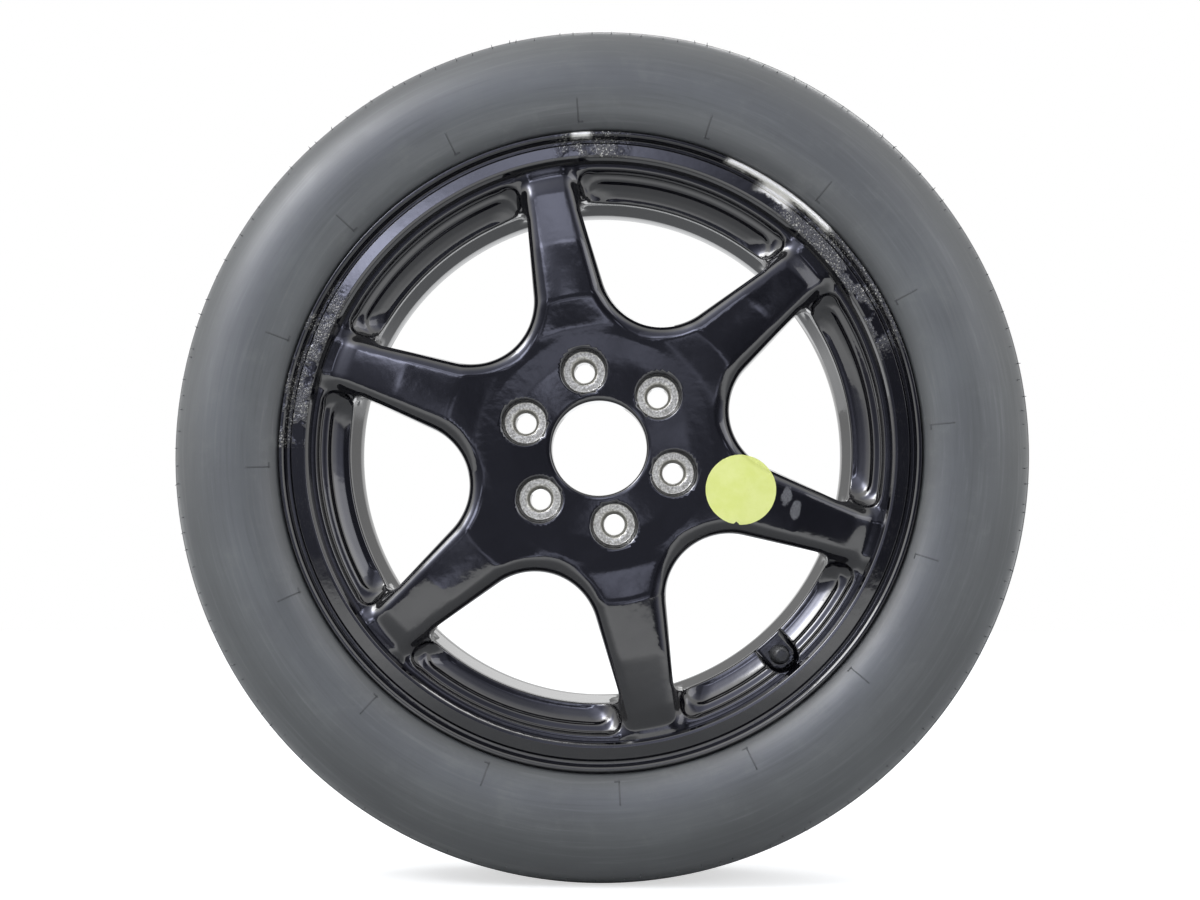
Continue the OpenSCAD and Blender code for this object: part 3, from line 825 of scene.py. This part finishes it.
def tyre_profile():
    """Closed section of the tyre, starting in the middle groove of the tread."""
    bottom = TREAD_R - GROOVE_H
    tread = [
        (bottom, 0.0), (bottom, 2.6), (bottom + 0.4, 3.0), (TREAD_R - 0.4, 3.0), (TREAD_R, 3.4),
        (TREAD_R, 9), (TREAD_R, 15), (TREAD_R, 21.6), (TREAD_R - 0.4, 22.0), (bottom + 0.4, 22.0),
        (bottom, 22.4), (bottom, 27.6), (bottom + 0.4, 28.0), (TREAD_R - 0.6, 28.0)
    ]
    flank_z = (28.4, 30, 33, 36.5, SLOT_END_Z - 0.15, SLOT_END_Z + 0.15, 42.6)
    flank = [(TREAD_R - 0.2 - 1.2 * ((z - 28.4) / 16) ** 1.5, z) for z in flank_z]
    shoulder = oval(OUTER_Z, OUTER_HALF, 80, 8, 18)
    bend = [(TREAD_R - 1.0, 41.5, 0), (316.2, 45.0, 7.0), (shoulder[0][0], shoulder[0][1], 0)]
    corner = [tuple(p) for p in rounded(bend, 6)[1:-1]]
    side = oval(INNER_Z, INNER_HALF, 4, -66, 17)
    foot = [
        (236.1, 55.5), (236.1, 52.0), (234.6, 50.8), (224.3, 50.8), (219.8, 49.0), (218.3, 46.0),
        (217.4, 30.8)
    ]
    cavity = oval(36, (43.7, 29.5), -90, 0, 6) + oval(36, (34.5, 29.5), 15, 90, 5)
    half = tread + flank + corner + shoulder + side + foot + cavity
    other = [(r, -z) for r, z in half[::-1] if z > 0]
    return np.array(half + other)


def smooth_below(obj, degrees, merge=0.0):
    """Makes the faces point outward, and the edges between steep faces sharp."""
    built = bmesh.new()
    built.from_mesh(obj.data)
    if merge > 0:
        bmesh.ops.remove_doubles(built, verts=built.verts, dist=merge)
    bmesh.ops.recalc_face_normals(built, faces=built.faces)
    for edge in built.edges:
        edge.smooth = edge.calc_face_angle(0.0) < degrees * DEG
    built.to_mesh(obj.data)
    built.free()


def tyre_object(material):
    """The tyre's ring. Its tread points sink where a shoulder slot runs across."""
    profile = tyre_profile()
    half_slot = math.degrees(SLOT_W / 2 / TREAD_R)
    wall = 0.04
    step = 360 / SLOTS
    # each slot has two columns of points to a wall, and one column stands between the slots
    marks = []
    for middle in (0.0, step / 2):
        marks += [middle - half_slot - wall, middle - half_slot + wall, middle + half_slot - wall,
                  middle + half_slot + wall, middle + step * 0.25]
    angles = np.sort(np.array([i * step + m for i in range(SLOTS) for m in marks]))
    radius = np.repeat(profile[None, :, 0], len(angles), 0)
    z = profile[:, 1]
    for side, shift in ((1, 0.0), (-1, step / 2)):
        from_mid = (angles - shift + step / 2) % step - step / 2
        in_slot = np.abs(from_mid) < half_slot
        along = (z * side > SLOT_START_Z) & (z * side < SLOT_END_Z) & (profile[:, 0] > TREAD_R - SLOT_H)
        radius[np.ix_(in_slot, along)] = TREAD_R - SLOT_H
    points = swing(angles * DEG, radius, z)
    quads = closed_quads(*radius.shape)
    obj = make_object("tyre_rubber_ring", points, quads.tolist(), material)
    smooth_below(obj, 32)
    return obj


def side_point(r):
    """Height of the tyre's street-side wall at a radius."""
    inner = r < WALL_AT
    height, half = (INNER_Z, INNER_HALF) if inner else (OUTER_Z, OUTER_HALF)
    return height + half[1] * math.sqrt(max(0.0, 1 - ((r - WALL_AT) / half[0]) ** 2))


def tube(points, radii, sides, out_points, out_faces):
    """Adds a closed tube along the points, tapering as the radii say."""
    start = len(out_points)
    points = [np.array(p, float) for p in points]
    for k, p in enumerate(points):
        along = points[min(k + 1, len(points) - 1)] - points[max(k - 1, 0)]
        along /= np.linalg.norm(along)
        ref = np.array([0, 0, 1.0]) if abs(along[2]) < 0.9 else np.array([1.0, 0, 0])
        u = np.cross(along, ref)
        u /= np.linalg.norm(u)
        v = np.cross(along, u)
        for q in range(sides):
            t = 2 * math.pi * q / sides
            out_points.append(p + radii[k] * (u * math.cos(t) + v * math.sin(t)))
    for k in range(len(points) - 1):
        for q in range(sides):
            a = start + k * sides + q
            b = start + k * sides + (q + 1) % sides
            out_faces.append((a, b, b + sides, a + sides))
    out_faces.append(tuple(start + q for q in range(sides))[::-1])
    out_faces.append(tuple(start + (len(points) - 1) * sides + q for q in range(sides)))


def on_wall(r, a, side, height):
    """A point at a radius, an angle in radians and a height on one side of the tyre."""
    return r * math.cos(a), r * math.sin(a), side * height


def mould_marks(material):
    """Fine mould lines near the flange, and the vent hairs of the shoulders."""
    rng = random.Random(7)
    points, faces = [], []
    for i in range(MOULD_LINES):
        a = (MOULD_LINE_A + i * 360 / MOULD_LINES) * DEG
        for side in (1, -1):
            radii = np.linspace(MOULD_LINE_FROM, MOULD_LINE_TO, 9)
            line = [on_wall(r, a, side, side_point(r) - 0.1) for r in radii]
            tube(line, [MOULD_LINE_THICK_R] * len(line), 6, points, faces)
            turns = np.linspace(-0.8, 0.25, 5)
            hook = [on_wall(HOOK_R, a + turn * DEG, side, side_point(HOOK_R) - 0.12) for turn in turns]
            tube(hook, [MOULD_LINE_THICK_R] * len(hook), 6, points, faces)
    for side, hairs in ((1, HAIRS_FRONT), (-1, HAIRS_BACK)):
        for i in range(hairs):
            a = (i + rng.uniform(-0.35, 0.35)) * 360 / hairs * DEG
            r = rng.choice((310.0, 312.0, 313.4))
            lean = rng.uniform(-0.5, 0.5)
            length = rng.uniform(1.2, 2.9)
            foot_z = side_point(r)
            hair = []
            for t in (0.0, 0.5, 1.0):
                turn = lean * t * t * length / r
                reach = r - 0.4 + (length + 0.4) * t * 0.92
                rise = 0.45 * length * t * (1 - 0.3 * t)
                hair.append(on_wall(reach, a + turn, side, foot_z + rise))
            tube(hair, HAIR_THICK_R, 5, points, faces)
    return make_object("tyre_mould_marks", points, faces, material)


def label_outline(columns):
    """The label's radius in each direction, with a small notch torn from its edge."""
    rng = random.Random(3)
    wobble = [rng.uniform(-0.06, 0.06) for _ in range(columns)]
    reach = []
    for j in range(columns):
        from_tear = (j * 360 / columns - TEAR_A + 180) % 360 - 180
        torn = TEAR_DEEP * math.exp(-(from_tear / TEAR_WIDE_A) ** 2)
        reach.append(LABEL_R + wobble[j] - torn)
    return reach


def label_object(material):
    """Thin film that follows the casting under it."""
    rings, columns = 20, 120
    centre = LABEL_AT * np.array([math.cos(LABEL_A * DEG), math.sin(LABEL_A * DEG)])
    outline = label_outline(columns)
    flat = []
    for i in range(rings + 1):
        for j in range(columns):
            a = 2 * math.pi * j / columns
            reach = outline[j] * i / rings
            flat.append((centre[0] + reach * math.cos(a), centre[1] + reach * math.sin(a)))
    flat = np.array(flat)

    # lower the film onto the casting, but no more than 5.5 mm under the spoke's face
    z = np.full(len(flat), 60.0)
    for _ in range(60):
        value = casting(flat[:, 0], flat[:, 1], z)
        z = z - np.clip(value, -0.4, 0.4)
    low = np.interp(np.hypot(*flat.T), *FRONT) - 5.5
    z = np.maximum(z, low)
    base = np.stack([flat[:, 0], flat[:, 1], z], 1)
    normals = slope(casting, base, 0.3)
    normals /= np.linalg.norm(normals, axis=1)[:, None]
    points = np.concatenate([base + normals * LABEL_OVER, base - normals * LABEL_UNDER])

    half = len(base)
    faces = []
    for i in range(rings):
        for j in range(columns):
            j2 = (j + 1) % columns
            a = i * columns + j
            b = i * columns + j2
            c = b + columns
            d = a + columns
            faces.append((a, d, c, b))
            faces.append((half + a, half + b, half + c, half + d))
    edge = rings * columns
    for j in range(columns):
        j2 = (j + 1) % columns
        faces.append((edge + j, half + edge + j, half + edge + j2, edge + j2))
    obj = make_object("label_film", points, faces, material)
    smooth_below(obj, 40, merge=1e-7)
    return obj


# Stage, light and camera


def white_material(name, colour):
    """Plain floor that camera and mirror rays see as white, and that keeps its shadows."""
    n = Nodes(name)
    path = n.add("ShaderNodeLightPath").outputs
    split = n.add("ShaderNodeSeparateXYZ")
    n.put(split.inputs[0], n.coords)
    away = n.math("ABSOLUTE", split.outputs[1])
    seen = n.times(n.larger(path["Is Camera Ray"], path["Is Transmission Ray"]), FLOOR_GLOW)
    shine = n.times(path["Is Glossy Ray"], n.span(away, 0.5, 1.4, 0.0, FLOOR_SHINE))
    matt = n.add("ShaderNodeBsdfDiffuse")
    n.put(matt.inputs["Color"], (*colour, 1))
    glow = n.add("ShaderNodeEmission")
    n.put(glow.inputs["Strength"], n.larger(seen, shine))
    both = n.add("ShaderNodeAddShader")
    n.put(both.inputs[0], matt.outputs[0])
    n.put(both.inputs[1], glow.outputs[0])
    out = n.add("ShaderNodeOutputMaterial")
    n.put(out.inputs["Surface"], both.outputs[0])
    return n.material


def area_lamp(name, position, target, size, power):
    data = bpy.data.lights.new(name, "AREA")
    data.shape = "RECTANGLE"
    data.size, data.size_y = size
    data.energy = power
    lamp = bpy.data.objects.new(name, data)
    lamp.location = position
    direction = Vector(target) - Vector(position)
    lamp.rotation_euler = direction.to_track_quat("-Z", "Y").to_euler()
    bpy.context.scene.collection.objects.link(lamp)


def background(n, colour, strength):
    node = n.add("ShaderNodeBackground")
    n.put(node.inputs["Color"], colour)
    n.put(node.inputs["Strength"], strength)
    return node.outputs[0]


def mix_shaders(n, factor, a, b):
    node = n.add("ShaderNodeMixShader")
    n.put(node.inputs[0], factor)
    n.put(node.inputs[1], a)
    n.put(node.inputs[2], b)
    return node.outputs[0]


def room_world():
    """White backdrop, and towards the camera's side the bands of light that the paint reflects."""
    world = bpy.data.worlds.new("room")
    bpy.context.scene.world = world
    world.use_nodes = True
    n = Nodes("room_nodes", world.node_tree)
    direction = n.add("ShaderNodeTexCoord").outputs["Generated"]
    split = n.add("ShaderNodeSeparateXYZ")
    n.put(split.inputs[0], direction)
    x, y, z = split.outputs
    up = n.math("DEGREES", n.math("ARCSINE", z))
    turn = n.math("DEGREES", n.math("ARCTAN2", x, n.times(y, -1.0)))
    level = n.blend(n.span(up, 19.0, 23.0), ROOM_LOW, ROOM_HIGH)
    level = n.times(level, n.span(turn, 4.0, 11.0, 1.0, 0.5))
    behind = n.span(y, -0.85, -0.35)
    level = n.blend(behind, level, n.span(y, -0.1, 0.5, ROOM_SIDE, 1.0))
    for patch_turn, patch_up, wide, tall, strength in PATCHES:
        across = n.over(n.minus(turn, patch_turn), wide)
        along = n.over(n.minus(up, patch_up), tall)
        reach = n.plus(n.math("POWER", n.math("ABSOLUTE", across), 2.6),
                       n.math("POWER", n.math("ABSOLUTE", along), 2.6))
        glow = n.math("EXPONENT", n.times(reach, -0.6))
        level = n.plus(level, n.times(glow, strength))
    tint = n.mix(behind, rgb("dfe3ff"), rgb("ffffff"))
    glossy = background(n, tint, level)
    soft_light = background(n, rgb("fafcff"), SOFT_LIGHT)
    white = background(n, rgb("ffffff"), 1.0)
    path = n.add("ShaderNodeLightPath").outputs
    lit = mix_shaders(n, path["Is Glossy Ray"], soft_light, glossy)
    seen = n.larger(path["Is Camera Ray"], path["Is Transmission Ray"])
    room = mix_shaders(n, seen, lit, white)
    out = n.add("ShaderNodeOutputWorld")
    n.put(out.inputs["Surface"], room)


def stage_and_lights():
    floor_mesh = bpy.data.meshes.new("floor")
    side, near, far = 8.0, -3.3, 9.0
    floor_z = -TREAD_R * MM
    corners = [(-side, near, floor_z), (side, near, floor_z), (side, far, floor_z), (-side, far, floor_z)]
    floor_mesh.from_pydata(corners, [], [(0, 1, 2, 3)])
    floor = bpy.data.objects.new("floor", floor_mesh)
    bpy.context.scene.collection.objects.link(floor)
    floor_mesh.materials.append(white_material("floor_white", (0.78, 0.79, 0.8)))
    room_world()
    area_lamp("key", (-1.9, -1.3, 1.9), (0, 0, 0.05), (1.2, 0.8), 22)
    area_lamp("fill", (1.7, -1.8, 0.9), (0, 0, 0), (1.4, 1.0), 7)
    area_lamp("back", (0.6, 1.9, 1.7), (0, 0, 0), (1.6, 1.0), 14)
    bpy.context.scene.view_settings.view_transform = "Standard"


def camera():
    data = bpy.data.cameras.new("camera")
    data.lens = 50.85
    data.sensor_width = 36
    cam = bpy.data.objects.new("camera", data)
    cam.location = (0.0359, -1.2948, -0.1104)
    aim = Vector((-0.0007, 0, 0.0027)) - cam.location
    cam.rotation_euler = aim.to_track_quat("-Z", "Y").to_euler()
    bpy.context.scene.collection.objects.link(cam)
    bpy.context.scene.camera = cam


def main():
    paint = paint_material()
    rubber = rubber_material()

    casting_piece = casting_object(paint)
    flange = flange_object(paint)
    barrel = barrel_object(paint)
    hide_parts("disc", "rim")
    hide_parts("rim")
    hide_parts("rim")
    tyre_piece = tyre_object(rubber)
    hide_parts("tyre")
    marks = mould_marks(rubber)
    label = label_object(label_material())
    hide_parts("speed_label")

    carried = {
        "valve_body": plain_material("valve_rubber", "1a1b1c", "2b2c2e", 0.6),
        "valve_stem": plain_material("valve_brass", "8f7432", "b7994f", 0.3, 1.0),
        "core_housing": plain_material("core_brass", "a0853f", "c2a65c", 0.3, 1.0),
        "core_gasket": plain_material("gasket_red", "8e2a20", "a83a2c", 0.55),
        "core_pin": plain_material("pin_steel", "9a9b98", "c6c7c2", 0.28, 1.0),
        "core_seal": plain_material("seal_rubber", "141415", "202022", 0.6),
        "core_spring": plain_material("spring_steel", "8b8d8f", "b4b6b6", 0.3, 1.0),
        "valve_cap": plain_material("cap_plastic", "141517", "222327", 0.42),
        "cap_seal": plain_material("washer_rubber", "19191a", "29292b", 0.6),
    }
    for node, material in carried.items():
        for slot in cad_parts[node].material_slots:
            slot.material = material

    stage_and_lights()
    camera()


main()
